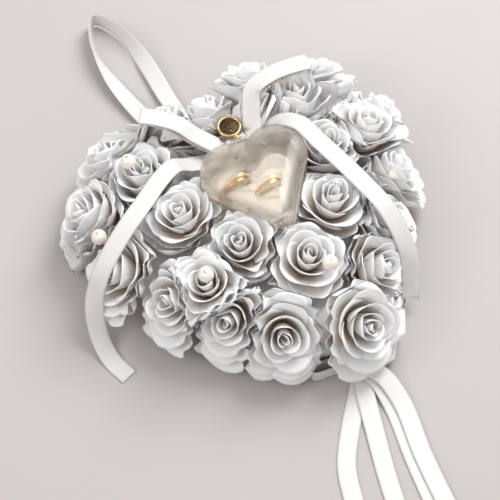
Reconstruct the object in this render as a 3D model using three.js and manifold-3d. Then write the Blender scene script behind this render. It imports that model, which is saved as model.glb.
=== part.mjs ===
// Ring bearer pillow: a heart-shaped satin cushion covered in foam roses, with a clear
// heart-shaped ring box, a pair of rings, a charm, pearls, rhinestones and satin ribbons.
// Millimetres, +Z up. The heart's axis lies along Y with its tip towards -Y, and the origin is
// the middle of the flat underside.

import * as THREE from 'three';
import { mergeVertices } from 'three/addons/utils/BufferGeometryUtils.js';
import Module from 'manifold-3d';

const wasm = await Module();
wasm.setup();

// ---- Driving sizes ----------------------------------------------------------------------

const gap = 0.3; // between two pieces that touch

// A heart has two round lobes, two straight flanks, a round tip and a round notch.
const cushion = { width: 186, length: 176, lobe: 56, tip: 22, notch: 8 };
const cushionHeight = 36;
const satin = 0.8; // thickness of the cushion's cover

const box = { width: 71, length: 70, lobe: 20, tip: 5, notch: 1 };
const boxWall = 2;
const boxPlace = new THREE.Vector2(7, 15.5); // where the box stands on the cushion
const boxTurn = THREE.MathUtils.degToRad(-3);
const trayHeight = 24;
const lidWall = 9; // height of the lid's upright wall, under its dome
const domeRise = 6;

const barrelRadius = 2.3;
const pinRadius = 0.8;
const knuckle = { middle: 4.6, side: 3.4 }; // lengths of the lid's barrel and of each tray barrel
const barrelBehind = 1.8; // from the back of the lobes to the hinge line

const insertMargin = 8; // from the tray's wall to the foam insert
const insertHeight = 13;
const ring = { outer: 10, inner: 8.7, band: 3.6, proud: 8.5 };
const ringPlaces = [
  { name: 'ring_left', x: box.lobe + 2.4 - box.width / 2, y: 12.6 },
  { name: 'ring_right', x: 4.3, y: 1.6 },
];

const charm = { radius: 8.2, thickness: 1.4, rim: 1.1, rimRise: 0.5, reach: 10.2 };
const charmEye = { radius: 1.4, bore: 0.8, length: 3 };
const link = { bar: 0.45, span: 5.6, height: 52 };
const linkPlace = new THREE.Vector2(13, 60); // the bar that the charm swings on

const rose = { radius: 23, height: 29, stub: 8, sides: 12 };
const outerRow = { count: 15, inset: 7, base: 22, tilt: 46, start: 10 };
const outerShift = new THREE.Vector2(2.5, 5); // how far the outer row sits off the heart's middle
const innerRow = { count: 6, outset: 15, tilt: 10, from: 0.235, to: 0.8 };
const lobeRoses = [
  { x: -49, y: -19, tilt: 24 },
  { x: -50, y: 62, tilt: 12 },
  { x: 52, y: 62, tilt: 12 },
  { x: 78, y: 22, tilt: 22 },
];
const floorGap = 1; // from the lowest petal to the surface under the pillow

const pearlRadius = 5;
const pearlPlaces = [[-98, 41], [-58, 75], [-57, -21], [12, -53], [87, -11]];
const stone = { radius: 2.6, height: 2.4, sides: 10 };
const stonePlaces = [[-52, 63], [-108, 58], [-36, -6], [46, -8], [82, -44], [46, -80]];
const sunk = 0.4; // share of a pearl's or a stone's height that sits in the petals

const ribbon = { width: 12, thickness: 0.5 };

// ---- Looks ------------------------------------------------------------------------------

const look = (color, roughness, metalness = 0) => ({ color, roughness, metalness });
const satinWhite = look(0xf1eeea, 0.35);
const foamWhite = look(0xf6f5f2, 0.8);
const fibreWhite = look(0xfafafa, 0.95);
const clearPlastic = look(0xe9ddd0, 0.08);
const steel = look(0x8d8983, 0.3, 1);
const gold = look(0xe3ab4a, 0.12, 1);
const bronze = look(0x3a2c1c, 0.4, 1);
const pearlCream = look(0xefe3d2, 0.2);
const crystal = look(0xd9dde2, 0.05);

const model = new THREE.Group();

function place(name, geometry, { color, roughness, metalness }, parent = model) {
  const mesh = new THREE.Mesh(
    geometry,
    new THREE.MeshStandardMaterial({ color, roughness, metalness }),
  );
  mesh.name = name;
  parent.add(mesh);
  return mesh;
}

// ---- Solids -----------------------------------------------------------------------------

function solidOf(geometry, matrix = new THREE.Matrix4()) {
  const bare = geometry.clone().applyMatrix4(matrix);
  bare.deleteAttribute('normal');
  bare.deleteAttribute('uv');
  const merged = mergeVertices(bare, 1e-4);
  return new wasm.Manifold(
    new wasm.Mesh({
      numProp: 3,
      vertProperties: merged.attributes.position.array,
      triVerts: new Uint32Array(merged.index.array),
    }),
  );
}

function geometryOf(solid) {
  const mesh = solid.getMesh();
  const geometry = new THREE.BufferGeometry();
  geometry.setAttribute('position', new THREE.BufferAttribute(mesh.vertProperties, 3));
  geometry.setIndex(new THREE.BufferAttribute(mesh.triVerts, 1));
  geometry.computeVertexNormals();
  return geometry;
}

const moved = (x, y, z) => new THREE.Matrix4().makeTranslation(x, y, z);

function block(x0, x1, y0, y1, z0, z1) {
  const shape = new THREE.BoxGeometry(x1 - x0, y1 - y0, z1 - z0);
  return solidOf(shape, moved((x0 + x1) / 2, (y0 + y1) / 2, (z0 + z1) / 2));
}

// A round bar along X.
function bar(radius, x0, x1, y, z, sides = 16) {
  const shape = new THREE.CylinderGeometry(radius, radius, x1 - x0, sides);
  shape.rotateZ(Math.PI / 2);
  return solidOf(shape, moved((x0 + x1) / 2, y, z));
}

// ---- Hearts -----------------------------------------------------------------------------

// The centres of a heart's lobes, tip and notch, and where its arcs meet.
function heartCentres({ width, length, lobe, tip, notch }) {
  const lobeX = width / 2 - lobe;
  const lobeY = length / 2 - lobe;
  const tipY = tip - length / 2;
  const reach = Math.hypot(lobeX, lobeY - tipY);
  const flank = Math.atan2(lobeY - tipY, lobeX) - Math.acos((tip - lobe) / reach);
  const notchY = lobeY + Math.sqrt((lobe + notch) ** 2 - lobeX ** 2);
  const start = Math.atan2(notchY - lobeY, -lobeX);
  return { lobeX, lobeY, tipY, notchY, flank, start };
}

// The outline as points, anticlockwise. A positive inset moves it inwards, parallel to itself.
function heartPoints(heart, inset = 0, divisions = 6) {
  const { lobe, tip, notch } = heart;
  const { lobeX, lobeY, tipY, notchY, flank, start } = heartCentres(heart);
  const outline = new THREE.Path();
  outline.absarc(0, notchY, notch + inset, -start, start - Math.PI, false);
  outline.absarc(lobeX, lobeY, lobe - inset, start, flank, true);
  if (tip > inset) {
    outline.absarc(0, tipY, tip - inset, flank, -Math.PI - flank, true);
  } else {
    outline.lineTo(0, tipY + (tip - inset) / Math.sin(flank));
  }
  outline.absarc(-lobeX, lobeY, lobe - inset, Math.PI - flank, Math.PI - start, true);
  const points = outline.getPoints(divisions);
  const closes = points[0].distanceTo(points[points.length - 1]) < 0.001;
  if (closes) points.pop();
  return points.reverse();
}

// A closed solid through copies of one outline, each at its own height and scale.
function stack(outline, levels) {
  const count = outline.length;
  const positions = [];
  for (const [z, scale] of levels) {
    for (const point of outline) positions.push(point.x * scale, point.y * scale, z);
  }
  const index = [];
  for (let level = 0; level + 1 < levels.length; level += 1) {
    for (let i = 0; i < count; i += 1) {
      const a = level * count + i;
      const b = level * count + ((i + 1) % count);
      index.push(a, b, b + count, a, b + count, a + count);
    }
  }
  const top = (levels.length - 1) * count;
  for (const [a, b, c] of THREE.ShapeUtils.triangulateShape(outline, [])) {
    index.push(c, b, a, top + a, top + b, top + c);
  }
  const geometry = new THREE.BufferGeometry();
  geometry.setAttribute('position', new THREE.Float32BufferAttribute(positions, 3));
  geometry.setIndex(index);
  geometry.computeVertexNormals();
  return geometry;
}

const prism = (outline, z0, z1) => solidOf(stack(outline, [[z0, 1], [z1, 1]]));

// ---- Cushion ----------------------------------------------------------------------------

// The cushion is widest at a third of its height and ends in a flat crown that the box stands on.
// Each pair is a share of the height and a share of the width.
const cushionProfile = [
  [0, 0.92], [0.14, 0.975], [0.36, 1], [0.6, 0.98], [0.78, 0.92], [0.91, 0.82], [0.98, 0.68], [1, 0.5],
];

// The filled cushion, with its surface moved outwards by grow.
function cushionSolid(grow, bottom) {
  const levels = cushionProfile.map(([share, scale]) => [share * (cushionHeight + grow), scale]);
  levels[0][0] = bottom;
  return solidOf(stack(heartPoints(cushion, -grow, 5), levels));
}

const panelScale = cushionProfile[0][1];
const panelTop = satin;
const coverBottom = panelTop + gap;
const panelLevels = [[0, panelScale], [panelTop, panelScale]];
place('lower_satin_panel', stack(heartPoints(cushion, 0, 5), panelLevels), satinWhite);
const coverOutside = cushionSolid(0, coverBottom);
place('upper_satin_panel', geometryOf(coverOutside.subtract(cushionSolid(-satin, 0))), satinWhite);
place('fibre_filling', geometryOf(cushionSolid(-satin - gap, coverBottom)), fibreWhite);

// ---- Ring box ---------------------------------------------------------------------------
// In the box's own frame: z = 0 at its underside, its outline centred on its length.

const boxGroup = new THREE.Group();
boxGroup.position.set(boxPlace.x, boxPlace.y, cushionHeight + gap);
boxGroup.rotation.z = boxTurn;
boxGroup.updateMatrixWorld();
model.add(boxGroup);

const lidBottom = trayHeight + gap;
const lidShoulder = lidBottom + lidWall;
const lidTop = lidShoulder + domeRise;
const hingeY = box.length / 2 + barrelBehind;
const hingeZ = trayHeight + gap / 2;
const notchInside = heartCentres(box).notchY - box.notch - boxWall / 2; // within the wall at the notch
const insertTop = boxWall + gap + insertHeight;

// Shares of the dome's rise and of the lid's width.
const domeProfile = [[0, 1], [0.35, 0.965], [0.7, 0.885], [0.92, 0.77], [1, 0.6]];

function domeSolid(inset, bottom, drop) {
  const dome = domeProfile.map(([rise, scale]) => [lidShoulder - drop + rise * domeRise, scale]);
  return solidOf(stack(heartPoints(box, inset), [[bottom, 1], ...dome]));
}

// The arm and the barrel of a knuckle, between x0 and x1.
function knuckleSolid(x0, x1, z0, z1) {
  const arm = block(x0, x1, notchInside, hingeY, z0, z1);
  return arm.add(bar(barrelRadius, x0, x1, hingeY, hingeZ));
}

function buildRingBox() {
  const half = knuckle.middle / 2;
  const side = half + gap;
  const end = side + knuckle.side;
  const bore = bar(pinRadius + gap, -end - 1, end + 1, hingeY, hingeZ);

  const cavity = prism(heartPoints(box, boxWall), boxWall, trayHeight + 1);
  const armBottom = hingeZ - barrelRadius;
  const tray = prism(heartPoints(box), 0, trayHeight)
    .add(knuckleSolid(side, end, armBottom, trayHeight))
    .add(knuckleSolid(-end, -side, armBottom, trayHeight))
    .subtract(cavity)
    .subtract(bore);
  place('ring_box_tray', geometryOf(tray), clearPlastic, boxGroup);

  const lid = domeSolid(0, lidBottom, 0)
    .add(knuckleSolid(-half, half, lidBottom, hingeZ + barrelRadius))
    .subtract(domeSolid(boxWall, 0, boxWall))
    .subtract(bore);
  place('ring_box_lid', geometryOf(lid), clearPlastic, boxGroup);

  const pin = new THREE.CylinderGeometry(pinRadius, pinRadius, 2 * end, 16);
  const pinMesh = place('hinge_pin', pin, steel, boxGroup);
  pinMesh.rotation.z = Math.PI / 2;
  pinMesh.position.set(0, hingeY, hingeZ);
}

function buildInsert() {
  const outline = heartPoints(box, boxWall + insertMargin);
  let insert = prism(outline, boxWall + gap, insertTop);
  const slitDepth = 2 * ring.outer - ring.proud + gap;
  for (const { x, y } of ringPlaces) {
    const halfX = ring.outer + gap;
    const halfY = ring.band / 2 + gap;
    insert = insert.subtract(
      block(x - halfX, x + halfX, y - halfY, y + halfY, insertTop - slitDepth, insertTop + 1),
    );
  }
  place('foam_insert', geometryOf(insert), foamWhite, boxGroup);
}

// A plain band with rounded edges, standing upright.
function buildRings() {
  const half = ring.band / 2;
  const ease = 0.4;
  const profile = [
    [ring.inner, -half + ease], [ring.inner + ease, -half], [ring.outer - ease, -half],
    [ring.outer, -half + ease], [ring.outer, half - ease], [ring.outer - ease, half],
    [ring.inner + ease, half], [ring.inner, half - ease], [ring.inner, -half + ease],
  ].map(([radius, rise]) => new THREE.Vector2(radius, rise));
  for (const { name, x, y } of ringPlaces) {
    const mesh = place(name, new THREE.LatheGeometry(profile, 24), gold, boxGroup);
    mesh.position.set(x, y, insertTop + ring.proud - ring.outer);
  }
}

buildRingBox();
buildInsert();
buildRings();

// ---- Charm ------------------------------------------------------------------------------

// The charm lies back from the bar of its link, which stands on the bow's knot.
const knotTop = link.height - charmEye.radius - 2 * gap;

function buildCharm() {
  const { x, y } = linkPlace;
  const z = link.height;
  const centre = moved(x, y + charm.reach, z);
  const upright = new THREE.Matrix4().makeRotationX(Math.PI / 2);
  const across = centre.clone().multiply(upright);
  const disc = (radius, thickness) => new THREE.CylinderGeometry(radius, radius, thickness, 32);
  const full = charm.thickness + 2 * charm.rimRise;
  const hollow = disc(charm.radius - charm.rim, charm.rimRise + gap);
  const up = moved(x, y + charm.reach, z + full / 2).multiply(upright);
  const down = moved(x, y + charm.reach, z - full / 2).multiply(upright);
  const halfEye = charmEye.length / 2;
  const neck = block(x - halfEye, x + halfEye, y, y + charm.reach - charm.radius + 1, z - 0.7, z + 0.7);
  const solid = solidOf(disc(charm.radius, full), across)
    .subtract(solidOf(hollow, up))
    .subtract(solidOf(hollow, down))
    .add(neck)
    .add(bar(charmEye.radius, x - halfEye, x + halfEye, y, z))
    .subtract(bar(charmEye.bore, x - halfEye - 1, x + halfEye + 1, y, z));
  place('charm', geometryOf(solid), bronze);

  const half = link.span / 2;
  const leg = 2 * link.bar;
  const staple = bar(link.bar, x - half, x + half, y, z, 12)
    .add(block(x - half, x - half + leg, y - link.bar, y + link.bar, knotTop + gap, z + link.bar))
    .add(block(x + half - leg, x + half, y - link.bar, y + link.bar, knotTop + gap, z + link.bar));
  place('charm_link', geometryOf(staple), steel);
}

buildCharm();

// ---- Ribbon sweeps ----------------------------------------------------------------------

const foldSlope = 0.4; // a route this close to upright, as the level share of its direction, is a fold

// A flat strip along a route. Each roll, in degrees, turns its width out of the level; below and
// above are how far it reaches to either side of the route.
function sweepGeometry({ route, rolls = [0, 0], steps }, halfWidth, below, above) {
  const curve = new THREE.CatmullRomCurve3(route.map(([x, y, z]) => new THREE.Vector3(x, y, z)));
  const positions = [];
  const before = new THREE.Vector3();
  for (let i = 0; i <= steps; i += 1) {
    const share = i / steps;
    const centre = curve.getPointAt(share);
    const ahead = curve.getTangentAt(share);
    const level = new THREE.Vector3(ahead.y, -ahead.x, 0);
    // Where the strip folds back over itself, its width keeps its direction and its side.
    if (i > 0 && level.length() < foldSlope) level.copy(before);
    if (level.dot(before) < 0) level.negate();
    level.normalize();
    before.copy(level);
    const slot = Math.min(share * (rolls.length - 1), rolls.length - 1.001);
    const low = Math.floor(slot);
    const roll = THREE.MathUtils.lerp(rolls[low], rolls[low + 1], slot - low);
    const across = level.applyAxisAngle(ahead, THREE.MathUtils.degToRad(roll));
    const up = across.clone().cross(ahead);
    for (const [u, v] of [[-1, -below], [1, -below], [1, above], [-1, above]]) {
      const corner = centre.clone().addScaledVector(across, u * halfWidth).addScaledVector(up, v);
      positions.push(corner.x, corner.y, corner.z);
    }
  }
  const index = [0, 1, 2, 0, 2, 3];
  for (let i = 0; i < steps; i += 1) {
    for (let k = 0; k < 4; k += 1) {
      const a = 4 * i + k;
      const b = 4 * i + ((k + 1) % 4);
      // The upper face is split along the same diagonal as the lower one, so a twist keeps them apart.
      if (k === 2) index.push(a, a + 4, b, b, a + 4, b + 4);
      else index.push(a, b + 4, b, a, a + 4, b + 4);
    }
  }
  const last = 4 * steps;
  index.push(last, last + 2, last + 1, last, last + 3, last + 2);
  const geometry = new THREE.BufferGeometry();
  geometry.setAttribute('position', new THREE.Float32BufferAttribute(positions, 3));
  geometry.setIndex(index);
  geometry.computeVertexNormals();
  return geometry;
}

function placeRibbon(name, sweep) {
  const half = ribbon.thickness / 2;
  place(name, sweepGeometry(sweep, ribbon.width / 2, half, half), satinWhite);
}

// The room that a ribbon presses into the roses under it, open above.
function ribbonRoom(sweep) {
  const below = ribbon.thickness / 2 + gap;
  return solidOf(sweepGeometry(sweep, ribbon.width / 2 + gap, below, rose.height));
}

// The two long tails pass from the bow over the flowers and down their sides to the surface.
const knotHalf = { x: 7, y: 5.5 };
const bowLeft = linkPlace.x - knotHalf.x - gap;
const bowRight = linkPlace.x + knotHalf.x + gap;
const longTails = {
  bow_tail_left: {
    route: [
      [bowLeft, 58, 40], [1, 58, 41], [-10, 58.5, 44.5], [-24, 58, 53], [-36, 56, 64], [-50, 50, 66], [-66, 41, 66],
      [-84, 32, 64], [-100, 24, 57], [-112, 18, 46], [-120, 12, 28], [-124, 0, 9], [-124, -14, 1.4],
      [-120, -30, 0.8],
    ],
    steps: 28,
  },
  bow_tail_right: {
    route: [
      [bowRight, 58, 40], [25, 58, 41.5], [33, 57, 47], [43, 54, 57], [49, 43, 64], [52, 24, 66], [56, 4, 66],
      [60, -16, 64.5], [64, -34, 60], [66, -50, 50], [66, -62, 37], [63, -71, 24], [58, -79, 13],
    ],
    steps: 28,
  },
};

// ---- Roses ------------------------------------------------------------------------------

// A point and an outward direction on an outline, at a distance along it.
function along(points, distance) {
  const closed = [...points, points[0]];
  let left = distance;
  for (let i = 0; i + 1 < closed.length; i += 1) {
    const step = closed[i + 1].clone().sub(closed[i]);
    if (left <= step.length()) {
      const out = new THREE.Vector2(step.y, -step.x).normalize();
      return { point: closed[i].clone().addScaledVector(step, left / step.length()), out };
    }
    left -= step.length();
  }
  return along(points, distance - lengthOf(points));
}

function lengthOf(points) {
  return points.reduce((sum, p, i) => sum + p.distanceTo(points[(i + 1) % points.length]), 0);
}

// Where a rose stands: its base on the cushion, and its axis leaning outwards by the tilt.
function rosePlace(point, out, z, tilt) {
  const lean = THREE.MathUtils.degToRad(tilt);
  const sideways = out.clone().normalize().multiplyScalar(Math.sin(lean));
  const axis = new THREE.Vector3(sideways.x, sideways.y, Math.cos(lean));
  const base = new THREE.Vector3(point.x, point.y, z);
  const middle = base.clone().addScaledVector(axis, rose.height / 2);
  return { base, axis, middle };
}

function cushionTopAt(point) {
  const probe = block(point.x - 1, point.x + 1, point.y - 1, point.y + 1, 0, 2 * cushionHeight);
  return cushionSolid(0, 0).intersect(probe).boundingBox().max[2];
}

function rosePlaces() {
  const places = [];
  const rim = heartPoints(cushion, outerRow.inset, 16);
  const pitch = lengthOf(rim) / outerRow.count;
  for (let i = 0; i < outerRow.count; i += 1) {
    const { point, out } = along(rim, outerRow.start + i * pitch);
    places.push(rosePlace(point.add(outerShift), out, outerRow.base, outerRow.tilt));
  }
  const round = heartPoints(box, -innerRow.outset, 16);
  const turned = round.map((p) => p.clone().rotateAround(new THREE.Vector2(), boxTurn).add(boxPlace));
  for (let i = 0; i < innerRow.count; i += 1) {
    const share = innerRow.from + ((innerRow.to - innerRow.from) * i) / (innerRow.count - 1);
    const { point, out } = along(turned, share * lengthOf(turned));
    places.push(rosePlace(point, out, cushionTopAt(point), innerRow.tilt));
  }
  for (const { x, y, tilt } of lobeRoses) {
    const point = new THREE.Vector2(x, y);
    places.push(rosePlace(point, point.clone(), cushionTopAt(point), tilt));
  }
  return places;
}

const places = rosePlaces();

// The room that the box, its hinge and its opening lid take up among the roses.
function lidRoom() {
  const high = lidTop + rose.height;
  const halfHinge = knuckle.middle / 2 + gap + knuckle.side + gap;
  const behindHinge = hingeY + barrelRadius + gap;
  const halfWidth = box.width / 2 + 1;
  const swing = hingeY + lidTop - hingeZ + 2;
  return prism(heartPoints(box, -gap), -1, high)
    .add(block(-halfHinge, halfHinge, notchInside, behindHinge, -1, high))
    .add(block(-halfWidth, halfWidth, box.length / 4, swing, hingeZ - 1, high + box.length))
    .transform([...boxGroup.matrixWorld.elements]);
}

// The hollow among the roses that the bow's knot, its loops and the charm lie in.
function bowRoom() {
  const { x, y } = linkPlace;
  const reach = charm.radius + 2;
  const high = lidTop + rose.height + cushionHeight;
  const loops = block(x - 32, x + 26, y, y + charm.reach + reach, knotTop - 8, high);
  return block(x - reach, x + reach, y - reach, y + charm.reach + reach, 0, high).add(loops);
}

// The rose solids, each trimmed to its own side of the planes midway to its neighbours.
function roseSolids() {
  const { radius, height, stub, sides } = rose;
  const profile = [
    [0, -stub], [7, -stub], [8, 1], [0.66 * radius, 0.2 * height], [0.94 * radius, 0.55 * height],
    [radius, 0.8 * height], [0.9 * radius, 0.94 * height], [0.4 * radius, height], [0, height],
  ].map(([r, h]) => new THREE.Vector2(r, h));
  const bowl = new THREE.LatheGeometry(profile, sides);
  const far = 400;
  const floor = block(-far, far, -far, far, -far, floorGap);
  const tails = Object.values(longTails).map(ribbonRoom).reduce((all, room) => all.add(room));
  const taken = cushionSolid(gap, -stub).add(lidRoom()).add(bowRoom()).add(tails).add(floor);
  const one = new THREE.Vector3(1, 1, 1);
  return places.map(({ base, axis, middle }, i) => {
    const turn = new THREE.Quaternion().setFromUnitVectors(THREE.Object3D.DEFAULT_UP, axis);
    let solid = solidOf(bowl, new THREE.Matrix4().compose(base, turn, one)).subtract(taken);
    places.forEach((other, j) => {
      const away = other.middle.clone().sub(middle);
      if (i === j || away.length() > 2.4 * radius) return;
      const facing = new THREE.Quaternion().setFromUnitVectors(
        THREE.Object3D.DEFAULT_UP,
        away.clone().normalize(),
      );
      const centre = middle.clone().addScaledVector(away.clone().normalize(), (away.length() + far - gap) / 2);
      const cube = new THREE.BoxGeometry(far, far, far);
      solid = solid.subtract(solidOf(cube, new THREE.Matrix4().compose(centre, facing, one)));
    });
    return solid;
  });
}

// Where a pearl or a stone stands above the point x, y on the top of the nearest rose.
function perch([x, y], height) {
  const tops = places.map(({ base, axis }) => base.clone().addScaledVector(axis, rose.height));
  const distances = tops.map((top) => Math.hypot(top.x - x, top.y - y));
  const nearest = distances.indexOf(Math.min(...distances));
  const { axis } = places[nearest];
  const top = tops[nearest];
  // The point above x, y on the plane through the rose's top, square to its axis.
  const z = top.z - (axis.x * (x - top.x) + axis.y * (y - top.y)) / axis.z;
  return { spot: new THREE.Vector3(x, y, z).addScaledVector(axis, -sunk * height), axis };
}

function stoneGeometry(extra) {
  const { radius, height, sides } = stone;
  const r = radius + extra;
  const profile = [[0, -extra], [0.9 * r, -extra], [r, 0.4 * height], [0.6 * r, height + extra], [0, height + extra]];
  return new THREE.LatheGeometry(profile.map(([a, b]) => new THREE.Vector2(a, b)), sides);
}

function buildRoses() {
  let pockets = bar(1, -1, 1, 0, -50);
  const trim = (name, geometry, pocket, centre, turn, finish) => {
    const mesh = place(name, geometry, finish);
    mesh.position.copy(centre);
    mesh.quaternion.copy(turn);
    const pose = new THREE.Matrix4().compose(centre, turn, new THREE.Vector3(1, 1, 1));
    pockets = pockets.add(solidOf(pocket, pose));
  };
  pearlPlaces.forEach((target, i) => {
    const { spot, axis } = perch(target, 2 * pearlRadius);
    const turn = new THREE.Quaternion().setFromUnitVectors(THREE.Object3D.DEFAULT_UP, axis);
    const pearl = new THREE.SphereGeometry(pearlRadius, 12, 8);
    const pocket = new THREE.SphereGeometry(pearlRadius + 2 * gap, 10, 6);
    const centre = spot.clone().addScaledVector(axis, pearlRadius);
    trim(`pearl_${i + 1}`, pearl, pocket, centre, turn, pearlCream);
  });
  stonePlaces.forEach((target, i) => {
    const { spot, axis } = perch(target, stone.height);
    const turn = new THREE.Quaternion().setFromUnitVectors(THREE.Object3D.DEFAULT_UP, axis);
    trim(`rhinestone_${i + 1}`, stoneGeometry(0), stoneGeometry(gap), spot, turn, crystal);
  });
  roseSolids().forEach((solid, i) => {
    const name = `rose_${String(i + 1).padStart(2, '0')}`;
    place(name, geometryOf(solid.subtract(pockets)), foamWhite);
  });
}

buildRoses();

// ---- Ribbons ----------------------------------------------------------------------------

// The bow behind the box: a knot and two flat loops that lie back over the flowers.
function buildBow() {
  const { x, y } = linkPlace;
  const knot = block(x - knotHalf.x, x + knotHalf.x, y - knotHalf.y, y + knotHalf.y, 0, knotTop);
  place('bow_knot', geometryOf(knot.subtract(cushionSolid(gap, -1))), satinWhite);
  placeRibbon('bow_loop_left', {
    route: [
      [bowLeft, y + 1, 47.5], [bowLeft - 4, y + 1, 49.5], [-10, 71, 58], [-18, 80, 66], [-27, 88, 69.5],
      [-38, 97, 70], [-27, 88, 67], [-18, 80, 61.5], [-10, 71, 54.5], [bowLeft - 4, y + 1, 46],
      [bowLeft, y + 1, 44.5],
    ],
    steps: 24,
  });
  placeRibbon('bow_loop_right', {
    route: [
      [bowRight, y + 1, 47.5], [bowRight + 4, y + 1, 49.5], [30, 71, 58], [37, 80, 66], [49, 81, 70],
      [63, 79, 72], [77, 76, 71], [63, 79, 69.5], [49, 80.5, 67.5], [36, 79, 62.5], [29, 71, 54.5],
      [bowRight + 4, y + 1, 46], [bowRight, y + 1, 44.5],
    ],
    steps: 24,
  });
  Object.entries(longTails).forEach(([name, sweep]) => placeRibbon(name, sweep));
}

// The loop that the pillow hangs by lies out of the notch: flat at its root, on edge at its tip.
function buildHangingLoop() {
  const route = [
    [-7, 82.7, 9], [-11, 105, 5.5], [-18, 137, 4], [-22, 175, 5.5], [-19, 205, 7], [-9, 221, 7.5],
    [1, 206, 7], [5, 176, 5.5], [4, 138, 4], [4, 105, 5.5], [6, 82.7, 9],
  ];
  const rolls = [0, 0, 0, 25, 70, 90, 70, 25, 0, 0, 0];
  placeRibbon('hanging_loop', { route, rolls, steps: 32 });
}

// The knot at the tip of the heart, two short loops beside it, and four tails laid out flat.
function buildTipRibbons() {
  place('tip_knot', geometryOf(block(2, 14, -98, -88.5, 1, 12)), satinWhite);
  const middle = 6.8;
  placeRibbon('tip_loop_left', {
    route: [
      [1.5, -91, middle], [-10, -88.5, middle], [-22, -88, middle], [-22, -92, middle], [-11, -95, middle],
      [1.5, -96, middle],
    ],
    rolls: [90, 90],
    steps: 20,
  });
  placeRibbon('tip_loop_right', {
    route: [
      [14.5, -91, middle], [25, -88.5, middle], [36, -88, middle], [36, -92, middle], [26, -95, middle],
      [14.5, -96, middle],
    ],
    rolls: [90, 90],
    steps: 20,
  });
  const tails = [
    [[6, -98.6, 2], [6, -104, 1.8], [-4, -115, 1], [-21, -133, 0.7], [-37, -155, 0.7], [-54, -215, 0.7]],
    [[7, -98.6, 4.5], [7, -104, 4], [1, -116, 2.6], [-7, -139, 1.2], [-19, -175, 0.7], [-33, -228, 0.7]],
    [[9, -98.6, 7], [9, -104, 6.6], [12, -115, 4], [11, -135, 1], [3, -170, 0.7], [-9, -235, 0.7]],
    [[10, -98.6, 9.5], [10, -104, 9.2], [16, -115, 6], [17, -135, 2.2], [9, -170, 1.6], [-1, -236, 1.6]],
  ];
  tails.forEach((route, i) => placeRibbon(`tip_tail_${i + 1}`, { route, steps: 12 }));
}

buildBow();
buildHangingLoop();
buildTipRibbons();

export default model;
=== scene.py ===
"""Ring bearer pillow: the looks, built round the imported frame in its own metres."""

import math
import random

import bmesh
import bpy
import numpy as np
from mathutils import Matrix, Vector


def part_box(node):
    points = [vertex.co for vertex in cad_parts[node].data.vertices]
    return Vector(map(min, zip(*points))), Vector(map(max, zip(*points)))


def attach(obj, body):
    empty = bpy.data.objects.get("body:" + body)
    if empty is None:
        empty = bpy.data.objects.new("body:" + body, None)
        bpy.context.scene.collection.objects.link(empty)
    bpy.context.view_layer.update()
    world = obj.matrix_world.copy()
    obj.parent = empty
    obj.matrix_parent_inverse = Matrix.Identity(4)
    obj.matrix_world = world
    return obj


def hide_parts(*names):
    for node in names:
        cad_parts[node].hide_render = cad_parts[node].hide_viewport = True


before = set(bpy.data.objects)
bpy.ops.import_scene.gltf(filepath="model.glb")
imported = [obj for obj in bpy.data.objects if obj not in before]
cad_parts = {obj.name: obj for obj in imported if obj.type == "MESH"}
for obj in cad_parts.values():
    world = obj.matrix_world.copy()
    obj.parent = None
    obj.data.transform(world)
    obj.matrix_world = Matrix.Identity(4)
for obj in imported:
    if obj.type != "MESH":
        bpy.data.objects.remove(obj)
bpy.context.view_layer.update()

MM = 0.001

# ---- Driving sizes, in millimetres, as in the CAD source ---------------------------------

CUSHION = {"width": 186, "length": 176, "lobe": 56, "tip": 22, "notch": 8}
CUSHION_HEIGHT = 36
BOX = {"width": 71, "length": 70, "lobe": 20, "tip": 5, "notch": 1}
BOX_PLACE = (7, 15.5, 36.3)
BOX_TURN = math.radians(-3)
WALL = 2
TRAY_HEIGHT = 24
LID_BOTTOM = 24.3
LID_SHOULDER = 33.3
LID_TOP = 39.3
HINGE_Y = 36.8
HINGE_Z = 24.15
BARREL_RADIUS = 2.3
MIDDLE_BARREL = 2.3  # half the length of the lid's barrel
BARREL_ENDS = (2.6, 6.0)  # the stretch of each of the tray's barrels
INSERT_TOP = 15.3
INSERT_INSET = 10
RING_OUTER = 10
RING_INNER = 8.7
RING_BAND = 3.6
RING_RISE = -1.5  # the rings' centres above the foam
RING_PLACES = {"ring_left": (-13.1, 12.6), "ring_right": (4.3, 1.6)}
LINK_PLACE = (13, 60)
LINK_HEIGHT = 52
CHARM_REACH = 10.2
CHARM_RADIUS = 8.2
PEARL_RADIUS = 5
STONE_RADIUS = 2.3
ROSE_RADIUS = 23
ROSE_HEIGHT = 29
RIBBON_WIDTH = 12
RIBBON_THICKNESS = 0.4

# ---- Camera ------------------------------------------------------------------------------

VIEW_AZIMUTH = math.radians(-31)
VIEW_ELEVATION = math.radians(61)
VIEW_DISTANCE = 1.1
VIEW_CENTRE = Vector((-19, -9.4, 40)) * MM
VIEW_WIDTH = 0.315  # what the frame spans at the centre's distance
SENSOR = 36


def add_object(name, data):
    made = bpy.data.objects.new(name, data)
    bpy.context.scene.collection.objects.link(made)
    return made


def stand_off(obj, centre, azimuth, elevation, distance):
    """Places a camera or lamp at a distance from a centre, facing it."""
    flat = math.cos(elevation)
    back = Vector((math.sin(azimuth) * flat, -math.cos(azimuth) * flat, math.sin(elevation)))
    obj.location = centre + back * distance
    obj.rotation_euler = (-back).to_track_quat("-Z", "Y").to_euler()


def make_camera():
    data = bpy.data.cameras.new("camera")
    data.sensor_width = SENSOR
    data.lens = SENSOR * VIEW_DISTANCE / VIEW_WIDTH
    camera = add_object("camera", data)
    stand_off(camera, VIEW_CENTRE, VIEW_AZIMUTH, VIEW_ELEVATION, VIEW_DISTANCE)
    bpy.context.scene.camera = camera


make_camera()

# ---- Materials ---------------------------------------------------------------------------


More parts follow.
